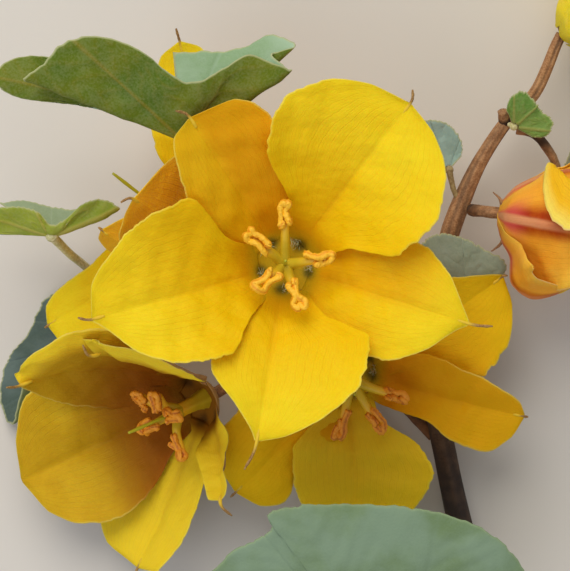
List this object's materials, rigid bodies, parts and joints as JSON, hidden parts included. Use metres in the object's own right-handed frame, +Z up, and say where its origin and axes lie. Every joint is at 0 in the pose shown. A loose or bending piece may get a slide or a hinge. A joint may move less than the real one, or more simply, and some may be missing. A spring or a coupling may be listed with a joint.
{
  "type": "cut flannel bush branch in flower",
  "caption": "Cut flowering branch of flannel bush, lying flat: woody stem, felted twigs, cupped yellow blooms of petal-like sepals round a stamen column, and cupped lobed leaves.",
  "frame": {"origin": "under the middle of the bounding box, on the surface that the branch lies on", "axes": "+Y from the stem's cut end towards its tip, +Z up, the way the front bloom faces, +X to the right as the picture shows it"},
  "size_m": [0.1358, 0.1504, 0.0513],
  "materials": {
    "bark": "matt, finely felted bark",
    "twig": "matt tawny felt",
    "sepal": "soft satin petal",
    "sepal_fading": "matt fading petal",
    "stamen": "matt, powdery with pollen",
    "leaf": "matt, felted leaf"
  },
  "bodies": {
    "root": {"main_stem": "bark", "twig_left": "twig", "stalk_low": "twig", "stalk_fading": "twig", "twig_right": "twig", "bloom_front_calyx": "sepal", "bloom_front_stamens": "stamen", "bloom_nodding_calyx": "sepal", "bloom_nodding_stamens": "stamen", "bloom_low_calyx": "sepal", "bloom_low_stamens": "stamen", "bloom_upper_calyx": "sepal", "bloom_upper_stamens": "stamen", "bloom_fading_calyx": "sepal_fading", "bloom_fading_stamens": "stamen", "bloom_young_calyx": "sepal", "bloom_young_stamens": "stamen", "leaf_upper_left": "leaf", "leaf_left": "leaf", "leaf_lower_left": "leaf", "leaf_foreground": "leaf", "leaf_right": "leaf", "leaf_behind": "leaf", "leaf_joint": "leaf", "leaf_edge": "leaf"}
  },
  "joints": []
}
